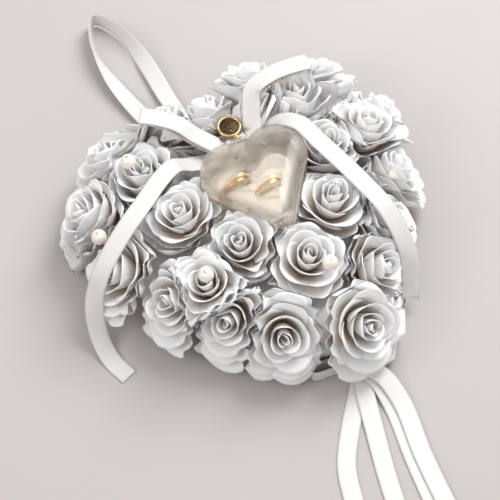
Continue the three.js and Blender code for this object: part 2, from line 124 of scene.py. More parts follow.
class Shader:
    """A Principled material with short helpers for its node tree."""

    def __init__(self, name, color, roughness, metallic=0.0, **sockets):
        self.material = bpy.data.materials.new(name)
        self.material.use_nodes = True
        self.tree = self.material.node_tree
        self.main = self.tree.nodes["Principled BSDF"]
        self.main.inputs["Base Color"].default_value = (*color, 1)
        self.main.inputs["Roughness"].default_value = roughness
        self.main.inputs["Metallic"].default_value = metallic
        for socket, value in sockets.items():
            self.main.inputs[socket.replace("_", " ")].default_value = value

    def node(self, kind, **settings):
        made = self.tree.nodes.new(kind)
        for key, value in settings.items():
            if key in made.inputs:
                made.inputs[key].default_value = value
            else:
                setattr(made, key, value)
        return made

    def link(self, source, target):
        self.tree.links.new(source, target)

    def coordinates(self, kind="Object"):
        return self.node("ShaderNodeTexCoord").outputs[kind]

    def noise(self, scale, detail):
        made = self.node("ShaderNodeTexNoise", Scale=scale, Detail=detail)
        self.link(self.coordinates(), made.inputs["Vector"])
        return made.outputs["Fac"]

    def ramp(self, source, stops):
        """Colours or greys at places from 0 to 1."""
        made = self.node("ShaderNodeValToRGB")
        self.link(source, made.inputs["Fac"])
        elements = made.color_ramp.elements
        while len(elements) < len(stops):
            elements.new(0.5)
        for element, (place, color) in zip(elements, stops):
            element.position = place
            element.color = (*color, 1) if hasattr(color, "__len__") else (color, color, color, 1)
        return made.outputs["Color"]

    def mix(self, factor, a, b, kind="MIX"):
        """Blends two colours; the node's colour sockets are reached by number."""
        made = self.node("ShaderNodeMix", data_type="RGBA", blend_type=kind)
        factor_in, a_in, b_in, color_out = 0, 6, 7, 2
        for value, socket in ((factor, factor_in), (a, a_in), (b, b_in)):
            if isinstance(value, bpy.types.NodeSocket):
                self.link(value, made.inputs[socket])
            elif socket == factor_in:
                made.inputs[socket].default_value = value
            else:
                made.inputs[socket].default_value = (*value, 1)
        return made.outputs[color_out]

    def bump(self, height, strength, distance):
        made = self.node("ShaderNodeBump", Strength=strength, Distance=distance)
        self.link(height, made.inputs["Height"])
        previous = self.main.inputs["Normal"].links
        if previous:
            self.link(previous[0].from_socket, made.inputs["Normal"])
        self.link(made.outputs["Normal"], self.main.inputs["Normal"])

    def color_from(self, source):
        self.link(source, self.main.inputs["Base Color"])

    def roughness_from(self, source):
        self.link(source, self.main.inputs["Roughness"])


def foam_material():
    """Thin petal foam: matt, a little translucent, with warm painted shade low down where the petals
    meet.
    """
    s = Shader("petal_foam", (0.9, 0.9, 0.9), 0.62, Subsurface_Weight=0.12, Sheen_Weight=0.15)
    s.main.inputs["Subsurface Radius"].default_value = (0.003, 0.0024, 0.0018)
    s.main.inputs["Subsurface Scale"].default_value = 1.0
    depth = s.node("ShaderNodeAttribute", attribute_name="depth").outputs["Fac"]
    # Painted shade: brown low in each rose, tan halfway up, and the foam's own white at the lips.
    painted_deep_shade, middle, lip = (0.42, 0.3, 0.2), (0.74, 0.62, 0.5), (0.9, 0.9, 0.905)
    painted_shade_tone = s.ramp(depth, [(0.0, painted_deep_shade), (0.35, middle), (0.8, lip)])
    mottled = s.ramp(s.noise(90, 3), [(0.3, (0.95, 0.95, 0.96)), (0.7, (1, 1, 1))])
    s.color_from(s.mix(1.0, painted_shade_tone, mottled, "MULTIPLY"))
    s.bump(s.noise(2600, 2), 0.25, 0.00012)
    s.bump(s.noise(260, 3), 0.2, 0.0003)
    return s.material


def ribbon_material():
    """Satin ribbon: fine cross ribs, a woven edge and a soft sheen. UV x runs across it."""
    s = Shader("satin_ribbon", (0.9, 0.9, 0.9), 0.4, Sheen_Weight=0.35, Anisotropic=0.5)
    s.main.inputs["Sheen Roughness"].default_value = 0.4
    uv = s.coordinates("UV")
    parts = s.node("ShaderNodeSeparateXYZ")
    s.link(uv, parts.inputs[0])
    across = s.node("ShaderNodeMath", operation="PINGPONG")
    s.link(parts.outputs[0], across.inputs[0])
    across.inputs[1].default_value = 0.5
    edge = s.ramp(across.outputs[0], [(0.0, 1.0), (0.05, 0.8), (0.075, 0.0)])
    ribs = s.node("ShaderNodeTexWave", Scale=900.0, Distortion=0.6, bands_direction="Y")
    s.link(uv, ribs.inputs["Vector"])
    s.color_from(s.mix(edge, (0.72, 0.71, 0.7), (0.62, 0.605, 0.59)))
    s.roughness_from(s.ramp(edge, [(0.0, 0.36), (1.0, 0.6)]))
    s.bump(ribs.outputs["Fac"], 0.25, 0.00006)
    s.bump(edge, 0.4, 0.0001)
    s.bump(s.noise(60, 2), 0.25, 0.0006)
    return s.material


def satin_material():
    """The cushion's satin cover: long soft wrinkles under a fine weave."""
    s = Shader("cover_satin", (0.88, 0.875, 0.865), 0.38, Sheen_Weight=0.3)
    s.main.inputs["Sheen Roughness"].default_value = 0.35
    weave = s.node("ShaderNodeTexWave", Scale=1100.0, Distortion=0.4, bands_direction="DIAGONAL")
    s.link(s.coordinates(), weave.inputs["Vector"])
    s.color_from(s.ramp(s.noise(35, 3), [(0.3, (0.85, 0.84, 0.825)), (0.7, (0.9, 0.895, 0.885))]))
    s.bump(weave.outputs["Fac"], 0.2, 0.00008)
    s.bump(s.noise(45, 3), 0.5, 0.0015)
    return s.material


def plastic_material():
    """Thin clear moulding, uneven, with a faint warm tint that is painted reflection of the warm cloth
    and painted shade from the petals round it.
    """
    # Painted reflection and shade: the warm base colour stands in for the warm cloth and shaded petals
    # seen in it.
    s = Shader("clear_plastic", (0.98, 0.9, 0.8), 0.02, Transmission_Weight=0.94, IOR=1.42, Alpha=0.5)
    s.roughness_from(s.ramp(s.noise(220, 3), [(0.3, 0.01), (0.8, 0.03)]))
    s.bump(s.noise(28, 2), 0.06, 0.0006)
    return s.material


def sponge_material():
    """Open-celled foam in a warm white, with painted shade in its small cells."""
    s = Shader("insert_sponge", (0.9, 0.88, 0.85), 0.85, Subsurface_Weight=0.1)
    s.main.inputs["Subsurface Radius"].default_value = (0.002, 0.0018, 0.0015)
    cells = s.node("ShaderNodeTexVoronoi", Scale=1500.0)
    s.link(s.coordinates(), cells.inputs["Vector"])
    distance = cells.outputs["Distance"]
    # Painted shade: darker in the middle of each cell, where the bump sinks it.
    s.color_from(s.ramp(distance, [(0.0, (0.78, 0.74, 0.69)), (0.5, (0.9, 0.88, 0.85))]))
    s.bump(distance, 0.5, 0.0003)
    return s.material


def metal_material(name, color, roughness, grain=400.0):
    """A metal with slightly uneven colour and polish, at a grain of its own."""
    s = Shader(name, color, roughness, 1.0)
    darker = tuple(0.82 * c for c in color)
    s.color_from(s.ramp(s.noise(grain, 4), [(0.35, darker), (0.65, color)]))
    polish = [(0.3, roughness * 0.7), (0.7, roughness * 1.3)]
    s.roughness_from(s.ramp(s.noise(grain * 3, 3), polish))
    s.bump(s.noise(grain * 2, 4), 0.08, 0.00008)
    return s.material


def bronze_material():
    """Aged bronze: dark in its pits, browner where it is rubbed."""
    s = Shader("aged_bronze", (0.1, 0.07, 0.04), 0.42, 1.0)
    patches = s.noise(700, 6)
    pits, plain, rubbed = (0.03, 0.02, 0.012), (0.1, 0.065, 0.035), (0.28, 0.19, 0.1)
    s.color_from(s.ramp(patches, [(0.35, pits), (0.6, plain), (0.8, rubbed)]))
    s.roughness_from(s.ramp(patches, [(0.3, 0.6), (0.7, 0.3)]))
    s.bump(patches, 0.6, 0.0002)
    return s.material


def pearl_material():
    """Pearl: cream and glossy, with painted shade darkening it round its outline."""
    s = Shader("pearl_lustre", (0.88, 0.8, 0.7), 0.22, Coat_Weight=0.7, Sheen_Weight=0.3)
    s.main.inputs["Coat Roughness"].default_value = 0.06
    facing = s.node("ShaderNodeLayerWeight", Blend=0.35).outputs["Facing"]
    # Painted shade: the colour darkens from the front, through the sides, to the outline.
    front, side, outline = (0.9, 0.83, 0.74), (0.85, 0.76, 0.68), (0.74, 0.68, 0.62)
    painted_shade_tone = s.ramp(facing, [(0.0, front), (0.55, side), (1.0, outline)])
    cloudy = s.ramp(s.noise(300, 3), [(0.3, (0.96, 0.95, 0.97)), (0.7, (1, 1, 1))])
    s.color_from(s.mix(1.0, painted_shade_tone, cloudy, "MULTIPLY"))
    return s.material


def crystal_material():
    s = Shader("cut_crystal", (0.97, 0.98, 1.0), 0.02, Transmission_Weight=0.75, IOR=1.75)
    s.roughness_from(s.ramp(s.noise(900, 2), [(0.3, 0.01), (0.7, 0.04)]))
    return s.material


def floor_material():
    s = Shader("pale_floor", (0.5, 0.475, 0.46), 0.8)
    s.color_from(s.ramp(s.noise(6, 3), [(0.3, (0.49, 0.465, 0.45)), (0.7, (0.51, 0.485, 0.47))]))
    s.bump(s.noise(1400, 2), 0.05, 0.0001)
    return s.material


FOAM = foam_material()
RIBBON = ribbon_material()
SATIN = satin_material()
PLASTIC = plastic_material()
SPONGE = sponge_material()
STEEL = metal_material("dark_steel", (0.34, 0.32, 0.3), 0.32)
GOLD = metal_material("polished_gold", (0.9, 0.56, 0.17), 0.12, 250.0)
OLD_GOLD = metal_material("rim_gold", (0.72, 0.52, 0.25), 0.28, 900.0)
SILVER = metal_material("cup_silver", (0.75, 0.75, 0.76), 0.2, 900.0)
BRONZE = bronze_material()
PEARL = pearl_material()
CRYSTAL = crystal_material()

# ---- Mesh helpers ------------------------------------------------------------------------


def make_object(name, points, faces, material, smooth=True, matrix=None):
    """A mesh object from points in millimetres."""
    mesh = bpy.data.meshes.new(name)
    mesh.from_pydata([tuple(p) for p in points], [], faces)
    if matrix is not None:
        mesh.transform(matrix)
    mesh.transform(Matrix.Scale(MM, 4))
    mesh.validate()
    mesh.materials.append(material)
    for polygon in mesh.polygons:
        polygon.use_smooth = smooth
    return add_object(name, mesh)


def face_outward(obj, weld=False):
    """Turns every face outward, and where asked, first joins points that coincide."""
    edit = bmesh.new()
    edit.from_mesh(obj.data)
    if weld:
        bmesh.ops.remove_doubles(edit, verts=edit.verts, dist=1e-6)
    bmesh.ops.recalc_face_normals(edit, faces=edit.faces)
    edit.to_mesh(obj.data)
    edit.free()


def apply_modifiers(obj):
    """Replaces an object's mesh by what its modifiers make of it."""
    graph = bpy.context.evaluated_depsgraph_get()
    mesh = bpy.data.meshes.new_from_object(obj.evaluated_get(graph))
    obj.modifiers.clear()
    obj.data = mesh


def join(name, pieces):
    """One object out of several, keeping each one's materials."""
    slots = []
    edit = bmesh.new()
    for piece in pieces:
        first = len(edit.faces)
        edit.from_mesh(piece.data)
        edit.faces.ensure_lookup_table()
        for face in edit.faces[first:]:
            material = piece.data.materials[face.material_index]
            if material not in slots:
                slots.append(material)
            face.material_index = slots.index(material)
    mesh = bpy.data.meshes.new(name)
    edit.to_mesh(mesh)
    edit.free()
    for material in slots:
        mesh.materials.append(material)
    for piece in pieces:
        bpy.data.objects.remove(piece)
    return add_object(name, mesh)


def loft(name, rings, material, matrix=None, capped=True):
    """A skin through rings of equally many points, with a fan over each end."""
    count = len(rings[0])
    points = [p for ring in rings for p in ring]
    faces = []
    for level in range(len(rings) - 1):
        for i in range(count):
            a = level * count + i
            b = level * count + (i + 1) % count
            faces.append((a, b, b + count, a + count))
    if capped:
        for start in (0, (len(rings) - 1) * count):
            ring = points[start : start + count]
            middle = tuple(sum(p[k] for p in ring) / count for k in range(3))
            points.append(middle)
            faces.extend((start + i, start + (i + 1) % count, len(points) - 1) for i in range(count))
    made = make_object(name, points, faces, material, matrix=matrix)
    face_outward(made)
    return made


def turns_of(count):
    """The angles of count even steps round a full turn."""
    return [2 * math.pi * i / count for i in range(count)]


def circle(turns, radius, z):
    return [(radius * math.cos(t), radius * math.sin(t), z) for t in turns]


def lathe(name, profile, material, matrix, sides, closed=False):
    """A profile of (radius, height) turned about Z; a closed one comes back to its start."""
    turns = turns_of(sides)
    rings = [circle(turns, radius, z) for radius, z in profile]
    if closed:
        rings.append(rings[0])
    made = loft(name, rings, material, matrix, capped=not closed)
    face_outward(made, weld=True)
    return made


def arc(centre, radius, start, end, count):
    """Points on an arc from start up to, but without, end."""
    steps = [start + (end - start) * i / count for i in range(count)]
    return [(centre[0] + radius * math.cos(t), centre[1] + radius * math.sin(t)) for t in steps]


SMALLEST_TIP = 0.02  # the tip's radius where an inset is larger than the tip itself


def heart(size, inset=0.0, fineness=20):
    """A heart's outline: round lobes, straight flanks, a round tip and a round notch."""
    lobe, tip, notch = size["lobe"], size["tip"], size["notch"]
    lobe_x = size["width"] / 2 - lobe
    lobe_y = size["length"] / 2 - lobe
    tip_y = tip - size["length"] / 2
    reach = math.hypot(lobe_x, lobe_y - tip_y)
    flank = math.atan2(lobe_y - tip_y, lobe_x) - math.acos((tip - lobe) / reach)
    notch_y = lobe_y + math.sqrt((lobe + notch) ** 2 - lobe_x**2)
    start = math.atan2(notch_y - lobe_y, -lobe_x)
    bottom_of_notch = arc((0, notch_y), notch + inset, -start, start - math.pi, fineness // 2)
    right = arc((lobe_x, lobe_y), lobe - inset, start, flank, 2 * fineness)
    flank_side = (math.cos(flank), math.sin(flank))
    flank_from = (lobe_x + (lobe - inset) * flank_side[0], lobe_y + (lobe - inset) * flank_side[1])
    tip_round = max(tip - inset, SMALLEST_TIP)
    tip_low = tip_y if tip > inset else tip_y + (tip - inset) / math.sin(flank)
    flank_to = (tip_round * flank_side[0], tip_low + tip_round * flank_side[1])
    side = [
        tuple(flank_from[k] + (flank_to[k] - flank_from[k]) * i / fineness for k in range(2))
        for i in range(fineness)
    ]
    bottom = arc((0, tip_low), tip_round, flank, -math.pi / 2, fineness // 2)
    half = right + side + bottom
    mirrored = [(-x, y) for x, y in reversed(half)]
    last = [(0, tip_low - tip_round)]
    return bottom_of_notch + half + last + mirrored


def level(outline, z):
    """A flat outline lifted to a height."""
    return [(x, y, z) for x, y in outline]


def moved(x, y, z):
    return Matrix.Translation(Vector((x, y, z)))


def quarter_turn(axis):
    return Matrix.Rotation(math.pi / 2, 4, axis)


BOX_FRAME = moved(*BOX_PLACE) @ Matrix.Rotation(BOX_TURN, 4, "Z")

# ---- Ribbons -----------------------------------------------------------------------------

BOW_LEFT = 5.7
BOW_RIGHT = 20.3
ROUTES = {
    "bow_loop_left": [
        (BOW_LEFT, 61, 47.5), (BOW_LEFT - 4, 61, 49.5), (-10, 71, 58), (-18, 80, 66), (-27, 88, 69.5),
        (-38, 97, 70), (-27, 88, 67), (-18, 80, 61.5), (-10, 71, 54.5), (BOW_LEFT - 4, 61, 46),
        (BOW_LEFT, 61, 44.5),
    ],
    "bow_loop_right": [
        (BOW_RIGHT, 61, 47.5), (BOW_RIGHT + 4, 61, 49.5), (30, 71, 58), (37, 80, 66), (49, 81, 70),
        (63, 79, 72), (77, 76, 71), (63, 79, 69.5), (49, 80.5, 67.5), (36, 79, 62.5), (29, 71, 54.5),
        (BOW_RIGHT + 4, 61, 46), (BOW_RIGHT, 61, 44.5),
    ],
    "bow_tail_left": [
        (BOW_LEFT, 58, 40), (1, 58, 41), (-10, 58.5, 44.5), (-24, 58, 53), (-36, 56, 64),
        (-50, 50, 66), (-66, 41, 66), (-84, 32, 64), (-100, 24, 57), (-112, 18, 46), (-120, 12, 28),
        (-124, 0, 9), (-124, -14, 1.4), (-120, -30, 0.8),
    ],
    "bow_tail_right": [
        (BOW_RIGHT, 58, 40), (25, 58, 41.5), (33, 57, 47), (43, 54, 57), (49, 43, 64), (52, 24, 66),
        (56, 4, 66), (60, -16, 64.5), (64, -34, 60), (66, -50, 50), (66, -62, 37), (63, -71, 24),
        (58, -79, 13),
    ],
    "hanging_loop": [
        (-7, 82.7, 9), (-11, 105, 5.5), (-18, 137, 4), (-22, 175, 5.5), (-19, 205, 7), (-9, 221, 7.5),
        (1, 206, 7), (5, 176, 5.5), (4, 138, 4), (4, 105, 5.5), (6, 82.7, 9),
    ],
    "tip_loop_left": [
        (1.5, -91, 6.8), (-10, -88.5, 6.8), (-22, -88, 6.8), (-22, -92, 6.8), (-11, -95, 6.8),
        (1.5, -96, 6.8),
    ],
    "tip_loop_right": [
        (14.5, -91, 6.8), (25, -88.5, 6.8), (36, -88, 6.8), (36, -92, 6.8), (26, -95, 6.8),
        (14.5, -96, 6.8),
    ],
    "tip_tail_1": [
        (6, -98.6, 2), (6, -104, 1.8), (-4, -115, 1), (-21, -133, 0.7), (-37, -155, 0.7),
        (-54, -215, 0.7),
    ],
    "tip_tail_2": [
        (7, -98.6, 4.5), (7, -104, 4), (1, -116, 2.6), (-7, -139, 1.2), (-19, -175, 0.7),
        (-33, -228, 0.7),
    ],
    "tip_tail_3": [
        (9, -98.6, 7), (9, -104, 6.6), (12, -115, 4), (11, -135, 1), (3, -170, 0.7), (-9, -235, 0.7),
    ],
    "tip_tail_4": [
        (10, -98.6, 9.5), (10, -104, 9.2), (16, -115, 6), (17, -135, 2.2), (9, -170, 1.6),
        (-1, -236, 1.6),
    ],
}
ROLLS = {
    "hanging_loop": [0, 0, 0, 25, 70, 90, 70, 25, 0, 0, 0],
    "tip_loop_left": [90, 90],
    "tip_loop_right": [90, 90],
}


def smooth_route(route, per_span=24):
    """A centripetal Catmull-Rom curve through the points, as in the CAD source."""
    points = [Vector(p) for p in route]
    points.insert(0, 2 * points[0] - points[1])
    points.append(2 * points[-1] - points[-2])
    curve = []
    for a, b, c, d in zip(points, points[1:], points[2:], points[3:]):
        t1 = math.sqrt((b - a).length)
        t2 = t1 + math.sqrt((c - b).length)
        t3 = t2 + math.sqrt((d - c).length)
        for i in range(per_span):
            t = t1 + (t2 - t1) * i / per_span
            ab = a.lerp(b, t / t1)
            bc = b.lerp(c, (t - t1) / (t2 - t1))
            cd = c.lerp(d, (t - t2) / (t3 - t2))
            abc = ab.lerp(bc, t / t2)
            bcd = bc.lerp(cd, (t - t1) / (t3 - t1))
            curve.append(abc.lerp(bcd, (t - t1) / (t2 - t1)))
    curve.append(points[-2])
    return curve


def even_steps(curve, pitch):
    """The curve again, with points an even distance apart, and its length."""
    lengths = [0.0]
    for a, b in zip(curve, curve[1:]):
        lengths.append(lengths[-1] + (b - a).length)
    fewest = 8
    count = max(fewest, round(lengths[-1] / pitch))
    result = []
    k = 0
    for i in range(count + 1):
        target = lengths[-1] * i / count
        while k < len(curve) - 2 and lengths[k + 1] < target:
            k += 1
        span = max(lengths[k + 1] - lengths[k], 1e-9)
        result.append(curve[k].lerp(curve[k + 1], min(1.0, (target - lengths[k]) / span)))
    return result, lengths[-1]


FOLD_SLOPE = 0.4  # below this level share of its direction, a route is so steep that it folds
STRIP_COLUMNS = 8
EDGE_THINNING = 0.25  # how much thinner a ribbon is at its woven edge


def ribbon_frames(name, pitch=1.5):
    """Each step's centre, its direction across the ribbon and its direction off the ribbon."""
    steps, length = even_steps(smooth_route(ROUTES[name]), pitch)
    rolls = ROLLS.get(name, [0, 0])
    frames = []
    before = Vector((0, 0, 0))
    for i, centre in enumerate(steps):
        ahead = (steps[min(i + 1, len(steps) - 1)] - steps[max(i - 1, 0)]).normalized()
        flat = Vector((ahead.y, -ahead.x, 0))
        # Where the strip folds back over itself, its width keeps its direction and its side.
        if i > 0 and flat.length < FOLD_SLOPE:
            flat = before.copy()
        if flat.dot(before) < 0:
            flat.negate()
        flat.normalize()
        before = flat
        place = min(i / (len(steps) - 1) * (len(rolls) - 1), len(rolls) - 1.001)
        low = int(place)
        roll = rolls[low] + (rolls[low + 1] - rolls[low]) * (place - low)
        across = Matrix.Rotation(math.radians(roll), 3, ahead) @ flat
        frames.append((centre, across, across.cross(ahead)))
    return frames, length


def strip_mesh(name, frames):
    """A thin woven strip, with UVs from 0 to 1 across it and in metres along it."""
    columns = STRIP_COLUMNS
    count = columns + 1
    points, uvs = [], []
    run = 0.0
    for i, (centre, across, off) in enumerate(frames):
        if i:
            run += (centre - frames[i - 1][0]).length * MM
        for side in (1, -1):
            for k in range(count):
                share = 2 * k / columns - 1
                rise = side * RIBBON_THICKNESS / 2 * (1 - EDGE_THINNING * share**8)
                points.append(centre + across * (share * RIBBON_WIDTH / 2) + off * rise)
                uvs.append((k / columns, run))
    faces = []
    for i in range(len(frames) - 1):
        a = 2 * count * i
        b = a + 2 * count
        for k in range(columns):
            faces.append((a + k, a + k + 1, b + k + 1, b + k))
            faces.append((a + count + k + 1, a + count + k, b + count + k, b + count + k + 1))
        for k, other in ((0, count), (columns, count + columns)):
            faces.append((a + k, b + k, b + other, a + other))
    for start in (0, 2 * count * (len(frames) - 1)):
        for k in range(columns):
            faces.append((start + k, start + k + 1, start + count + k + 1, start + count + k))
    made = make_object(name, points, faces, RIBBON)
    layer = made.data.uv_layers.new(name="weave")
    for loop in made.data.loops:
        layer.data[loop.index].uv = uvs[loop.vertex_index]
    face_outward(made)
    return made


def build_ribbons():
    for name in ROUTES:
        frames, length = ribbon_frames(name)
        strip = strip_mesh(f"satin_{name}", frames)
        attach(strip, "pillow")
        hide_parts(name)


build_ribbons()

# ---- Roses -------------------------------------------------------------------------------

# Each layer of petals: how many, the angle one spans, its lip's radius and height as shares of
# the rose's, how far its lip curls out in millimetres, and how pointed and how flared it is.
LAYERS = [
    (1, 5.4, 0.10, 1.0, 0.0, 0.0, 0.0),
    (2, 3.7, 0.19, 1.0, 0.3, 0.0, 0.0),
    (3, 2.8, 0.34, 0.99, 1.4, 0.1, 0.0),
    (4, 2.2, 0.54, 0.96, 3.0, 0.3, 0.1),
    (5, 1.85, 0.8, 0.86, 5.0, 0.7, 0.35),
    (5, 1.8, 1.1, 0.68, 5.5, 1.0, 0.7),
    (6, 1.5, 1.42, 0.42, 4.5, 1.0, 1.0),
]
PETAL_ACROSS = 15
PETAL_ALONG = 13
PETAL_THICKNESS = 0.7
FOOT_RADIUS = 1.2  # of the stem, where every petal starts
CURL_START = 0.66  # how far up a petal its lip begins to curl out
LAYER_TURN = 1.1  # how far each layer is turned from the one inside it


def petal_grid(turn, span, lip_radius, lip_height, curl, point, flare, dice):
    """The middle surface of one petal as an array, from its foot to its lip."""
    u = np.linspace(-1, 1, PETAL_ACROSS)[None, :]
    v = np.linspace(0, 1, PETAL_ALONG)[:, None]
    edge = np.abs(u)
    # The petal is narrow at its foot, shorter towards its sides and drawn out to its point.
    reach = v * (1 - (0.22 + 0.12 * point) * edge ** (3 - 1.3 * point)) + 0.05 * v * (1 - edge) ** 2
    wide = np.sin(np.clip(0.25 + 0.75 * v, 0, 1) * math.pi / 2) ** 0.7
    angle = turn + u * span / 2 * wide
    # It swells out low down and then climbs, and its lip curls out and over.
    swell = (1 - np.clip(reach, 0, 1)) ** (2.1 - 0.6 * flare)
    radius = FOOT_RADIUS + (lip_radius - FOOT_RADIUS) * (1 - swell)
    height = 1 + (lip_height - 1) * np.clip(reach, 0, 1.2) ** (1.25 - 0.3 * flare)
    over = np.clip((reach - CURL_START) / (1 - CURL_START), 0, 1.3)
    radius = radius + curl * over**2 * (0.7 + 0.5 * edge**2)
    height = height - curl * over**3 * (0.3 + 0.85 * edge**2)
    # One side laps over the next petal, and the rim waves, more on the larger petals.
    radius = radius + 0.05 * lip_radius * u * v
    wave = dice.uniform(0, 6.28)
    size = min(1, lip_radius / 10)
    radius = radius + 0.4 * np.sin(2.4 * u + wave) * v**2 * size
    height = height + (0.5 + 0.6 * flare) * np.sin(3.1 * u + 2 * wave) * v**3 * size
    return np.stack([radius * np.cos(angle), radius * np.sin(angle), height + 0 * angle], axis=-1)


def thick_petal(grid):
    """Points and faces of a petal with two sides and a rim, and how far up each point lies."""
    along = np.gradient(grid, axis=0)
    across = np.gradient(grid, axis=1)
    normal = np.cross(across, along)
    normal /= np.linalg.norm(normal, axis=-1, keepdims=True) + 1e-9
    rows, columns = grid.shape[:2]
    v = np.linspace(0, 1, rows)[:, None, None]
    offset = normal * PETAL_THICKNESS * (0.5 - 0.22 * v)  # thinner towards the lip
    points = np.concatenate([(grid + offset).reshape(-1, 3), (grid - offset).reshape(-1, 3)])
    depth = np.tile(np.repeat(np.linspace(0, 1, rows), columns), 2)
    size = rows * columns
    faces = []
    for i in range(rows - 1):
        for k in range(columns - 1):
            a = i * columns + k
            faces.append((a, a + 1, a + columns + 1, a + columns))
            faces.append((a + size, a + size + columns, a + size + columns + 1, a + size + 1))
    last_row, last_column = rows - 1, columns - 1
    border = [(0, k) for k in range(last_column)] + [(i, last_column) for i in range(last_row)]
    border += [(last_row, k) for k in range(last_column, 0, -1)]
    border += [(i, 0) for i in range(last_row, 0, -1)]
    loop = [i * columns + k for i, k in border]
    for a, b in zip(loop, loop[1:] + loop[:1]):
        faces.append((b, a, a + size, b + size))
    return points, faces, depth


def rose_shape(dice):
    """All the petals of one rose about its own Z axis, in millimetres."""
    points, faces, depths = [], [], []
    total = 0
    turn = dice.uniform(0, 6.28)
    for count, span, radius, height, curl, point, flare in LAYERS:
        turn += LAYER_TURN
        for i in range(count):
            place = turn + 2 * math.pi * (i + dice.uniform(-0.09, 0.09)) / count
            grid = petal_grid(
                place,
                span * dice.uniform(0.95, 1.08),
                radius * ROSE_RADIUS * dice.uniform(0.95, 1.04),
                height * ROSE_HEIGHT * dice.uniform(0.97, 1.01),
                curl * dice.uniform(0.8, 1.25),
                point * dice.uniform(0.5, 1.1),
                flare,
                dice,
            )
            petal, quads, depth = thick_petal(grid)
            points.append(petal)
            faces += [tuple(total + k for k in quad) for quad in quads]
            # Inner layers take lower depth values, and so more of the foam's painted shade.
            depths.append(depth * (0.75 + 0.25 * min(1, radius * 2)))
            total += len(petal)
    return np.concatenate(points), faces, np.concatenate(depths)


def nodes_named(start):
    return sorted(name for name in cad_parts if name.startswith(start))


def middle_of(node):
    """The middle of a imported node's box, in millimetres."""
    low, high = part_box(node)
    return (low + high) / 2 / MM


def rose_axis(middle):
    """Roses lean out from the heart's core, further the lower they sit."""
    lowest, highest = 35.5, 51
    most, least = 46, 10  # degrees from upright
    lean = most + (least - most) * min(1, max(0, (middle.z - lowest) / (highest - lowest)))
    out = Vector((middle.x, middle.y * 0.95, 0)).normalized()
    return out * math.sin(math.radians(lean)) + Vector((0, 0, math.cos(math.radians(lean))))


def placed_on_rose(node):
    """The place of a bead or stone: its node's middle, leaning as the rose under it does."""
    middle = middle_of(node)
    lean = rose_axis(middle).to_track_quat("Z", "Y").to_matrix().to_4x4()
    return Matrix.Translation(middle) @ lean


def squeeze(distance, limit, soft):
    """Distances past limit minus soft are drawn in, so that none passes the limit."""
    start = limit - soft
    over = np.clip((distance - start) / soft, 0, None)
    return np.where(distance > start, start + soft * (1 - np.exp(-over)), distance)


def press_between(points, middle, others):
    """Presses petals back from the borders midway to the neighbouring roses."""
    farthest = 2.4 * ROSE_RADIUS
    half_gap = 0.15
    swing = 2.6
    soft = 8.0
    for other in others:
        away = np.array(other - middle)
        reach = np.linalg.norm(away)
        if reach > farthest:
            continue
        away /= reach
        distance = (points - np.array(middle)) @ away
        # The border waves, so that petals lap past each other. Both roses take the same wave,
        # one with each sign, told apart by which lies further along a slanting line.
        side = 1 if other.x + 0.37 * other.y > middle.x + 0.37 * middle.y else -1
        wave = swing * np.sin(0.4 * points[:, 2] + 0.22 * (points[:, 0] + points[:, 1]))
        limit = reach / 2 - half_gap + side * wave
        points = points + (squeeze(distance, limit, soft) - distance)[:, None] * away
    return points


def press_from_outline(points, outline, margin, top):
    """Moves points below top that lie inside an outline to just outside it."""
    polygon = np.array(outline)
    ends = np.roll(polygon, -1, axis=0)
    low, high = polygon.min(0) - margin, polygon.max(0) + margin
    near = np.all((points[:, :2] > low) & (points[:, :2] < high), axis=1) & (points[:, 2] < top)
    if not near.any():
        return points
    flat = points[near, :2]
    edge = ends - polygon
    share = ((flat[:, None] - polygon) * edge).sum(-1) / (edge * edge).sum(-1)
    closest = polygon + np.clip(share, 0, 1)[..., None] * edge
    gaps = np.linalg.norm(flat[:, None] - closest, axis=-1)
    best = gaps.argmin(1)
    rows = np.arange(len(flat))
    nearest, gap = closest[rows, best], gaps[rows, best]
    crossing = (polygon[:, 1] > flat[:, None, 1]) != (ends[:, 1] > flat[:, None, 1])
    with np.errstate(divide="ignore", invalid="ignore"):
        at = edge[:, 0] * (flat[:, None, 1] - polygon[:, 1]) / edge[:, 1] + polygon[:, 0]
    inside = (crossing & (flat[:, None, 0] < at)).sum(1) % 2 == 1
    normal = np.stack([edge[best, 1], -edge[best, 0]], axis=1)
    normal /= np.linalg.norm(normal, axis=1, keepdims=True)
    area = (polygon[:, 0] * ends[:, 1] - ends[:, 0] * polygon[:, 1]).sum()
    normal *= 1 if area > 0 else -1
    pushed = nearest + normal * margin
    held = inside | (gap < margin)
    result = points.copy()
    result[near, :2] = np.where(held[:, None], pushed, flat)
    return result


def press_under_strip(points, frames):
    """Presses petals under a ribbon that lies over them, less so in a fringe beside it."""
    clearance = 0.5
    fringe = 2.5
    centres = np.array([f[0] for f in frames])
    across = np.array([f[1] for f in frames])
    off = np.array([f[2] for f in frames])
    gaps = np.linalg.norm(points[:, None] - centres[None], axis=-1)
    nearest = gaps.argmin(1)
    away = points - centres[nearest]
    side = np.abs((away * across[nearest]).sum(1))
    rise = (away * off[nearest]).sum(1)
    reach = RIBBON_WIDTH / 2 + fringe
    covered = (rise > -clearance) & (rise < ROSE_HEIGHT) & (side < reach)
    fade = np.clip((reach - side) / fringe, 0, 1)
    drop = np.where(covered, (rise + clearance) * fade, 0)
    return points - drop[:, None] * off[nearest]


def press_from_balls(points, balls):
    """Moves points that lie in a pearl's or a stone's hollow out to its surface."""
    for centre, radius in balls:
        middle = np.array(centre)
        away = points - middle
        distance = np.linalg.norm(away, axis=1, keepdims=True)
        surface = middle + away / (distance + 1e-9) * radius
        points = np.where(distance < radius, surface, points)
    return points


def box_outline():
    """The box's outline where it stands on the cushion."""
    cos, sin = math.cos(BOX_TURN), math.sin(BOX_TURN)
    outline = heart(BOX, 0, 8)
    return [(BOX_PLACE[0] + cos * x - sin * y, BOX_PLACE[1] + sin * x + cos * y) for x, y in outline]


